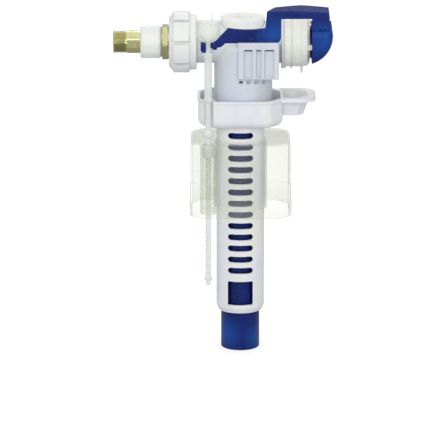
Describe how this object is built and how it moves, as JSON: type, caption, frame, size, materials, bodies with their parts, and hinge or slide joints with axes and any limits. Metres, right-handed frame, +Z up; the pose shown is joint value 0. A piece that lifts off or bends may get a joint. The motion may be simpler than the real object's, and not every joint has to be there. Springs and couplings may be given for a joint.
{
  "type": "toilet fill valve",
  "caption": "Side-entry cistern fill valve: brass inlet shank, union nut, float-worked diaphragm valve with a cranked lever, water tray and sleeved outlet tube.",
  "frame": {"origin": "on the inlet axis, at the end of the brass shank's plain stretch, where the outer face of the fixing nut sits", "axes": "+X along the inlet axis from the water supply into the valve; +Z up along the outlet tube; -Y towards the lever's front"},
  "size_m": [0.1615, 0.0604, 0.2619],
  "materials": {
    "brass": "turned, lightly tarnished",
    "steel": "satin",
    "white_plastic": "satin moulded",
    "blue_plastic": "satin moulded",
    "clear_rod": "translucent moulded",
    "clear_float": "clear moulded",
    "rubber": "matte"
  },
  "bodies": {
    "valve": {"inlet_nipple": "brass", "retaining_ring": "steel", "union_seal": "rubber", "inlet_strainer": "white_plastic", "flow_restrictor": "white_plastic", "valve_body": "white_plastic", "vent_cover": "white_plastic", "vent_flap": "rubber", "cap_o_ring": "rubber", "outlet_o_ring": "rubber", "valve_cap": "white_plastic", "diaphragm_rim": "rubber", "valve_seat": "white_plastic", "metering_pin": "steel", "pilot_housing": "blue_plastic", "pilot_nozzle": "white_plastic", "lever_pin": "steel", "water_tray": "white_plastic", "outer_sleeve": "white_plastic", "outlet_pipe": "blue_plastic", "flow_silencer": "white_plastic"},
    "fixing_nut": {"fixing_nut": "white_plastic"},
    "union_nut": {"union_nut": "white_plastic"},
    "plug": {"top_plug": "white_plastic", "plug_o_ring": "rubber"},
    "diaphragm": {"diaphragm": "rubber", "diaphragm_plate": "white_plastic"},
    "lever": {"valve_lever": "blue_plastic", "pilot_pad": "rubber"},
    "cup": {"rod_cup": "clear_rod"},
    "rod": {"adjusting_rod": "clear_rod"},
    "float": {"float": "clear_float", "float_nut": "clear_rod"}
  },
  "joints": [
    {"name": "fixing_nut_turn", "type": "hinge", "parent": "valve", "child": "fixing_nut", "pos_m": [0.0079, 0, 0], "axis": [1, 0, 0], "continuous": true},
    {"name": "union_nut_turn", "type": "hinge", "parent": "valve", "child": "union_nut", "pos_m": [0.031, 0, 0], "axis": [1, 0, 0], "continuous": true},
    {"name": "plug_turn", "type": "hinge", "parent": "valve", "child": "plug", "pos_m": [0.0755, 0, 0.0155], "axis": [0, 0, 1], "range_deg": [0, 90]},
    {"name": "lever_tilt", "type": "hinge", "parent": "valve", "child": "lever", "pos_m": [0.1339, 0, 0.0155], "axis": [0, 1, 0], "range_deg": [0, 6.5]},
    {"name": "cup_lift", "type": "slide", "parent": "valve", "child": "cup", "axis": [0, 0, 1], "range_m": [0, 0.0096]},
    {"name": "diaphragm_stroke", "type": "slide", "parent": "valve", "child": "diaphragm", "axis": [-1, 0, 0], "range_m": [0, 0.0024]},
    {"name": "rod_turn", "type": "hinge", "parent": "cup", "child": "rod", "pos_m": [0.05, -0.0215, -0.06], "axis": [0, 0, 1], "range_deg": [0, 5400]},
    {"name": "float_adjust", "type": "slide", "parent": "cup", "child": "float", "axis": [0, 0, -1], "range_m": [0, 0.045]}
  ],
  "couplings": [
    {"joint": "cup_lift", "follows": "lever_tilt", "m_per_rad": 0.0839},
    {"joint": "diaphragm_stroke", "follows": "lever_tilt", "m_per_rad": 0.021},
    {"joint": "rod_turn", "follows": "float_adjust", "rad_per_m": 2094.4}
  ]
}
